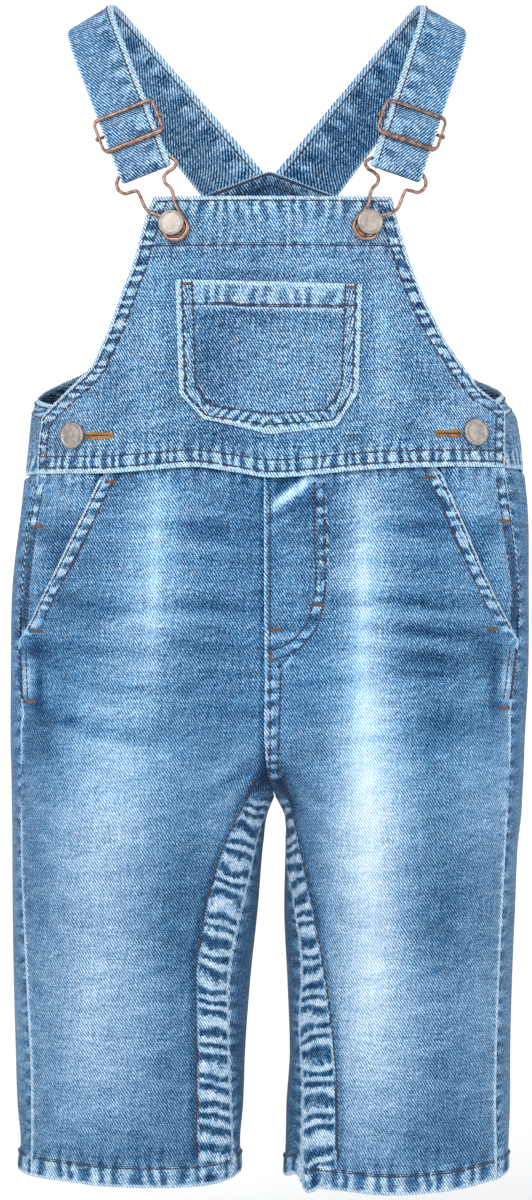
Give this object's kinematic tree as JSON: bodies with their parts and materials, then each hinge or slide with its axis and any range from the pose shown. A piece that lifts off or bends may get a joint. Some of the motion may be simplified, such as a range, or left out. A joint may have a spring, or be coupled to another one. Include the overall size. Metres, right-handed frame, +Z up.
{
  "type": "kids dungarees",
  "caption": "Child's bib dungarees in light washed denim, filled out as worn: open hollow legs, bib with patch pocket, slanted hip pockets, buckled straps held by wire hooks.",
  "frame": {"origin": "between the tops of the two shoulder straps, level with their highest points, where the garment hangs on the wearer's shoulders", "axes": "+X to the wearer's left, -Y to the front, +Z up"},
  "size_m": [0.2692, 0.119, 0.6145],
  "materials": {
    "washed_denim": "light stone-washed blue twill, matt",
    "facing_denim": "darker unfaded blue twill, matt",
    "copper_wire": "antique copper plating, satin",
    "nickel_cap": "pale warm nickel plating, satin"
  },
  "bodies": {
    "root": {"bib_front": "washed_denim", "bib_pocket": "washed_denim", "bib_back": "washed_denim", "bib_back_facing": "facing_denim", "front_leg_R": "washed_denim", "front_leg_L": "washed_denim", "back_leg_R": "washed_denim", "back_leg_L": "washed_denim", "hip_facing_R": "washed_denim", "hip_facing_L": "washed_denim", "strap_R": "washed_denim", "strap_L": "washed_denim", "slider_frame_R": "copper_wire", "slider_frame_L": "copper_wire", "slider_bar_R": "copper_wire", "slider_bar_L": "copper_wire", "hook_R": "copper_wire", "hook_L": "copper_wire", "bib_button_R": "nickel_cap", "bib_button_L": "nickel_cap", "side_button_R": "nickel_cap", "side_button_L": "nickel_cap"}
  },
  "joints": []
}
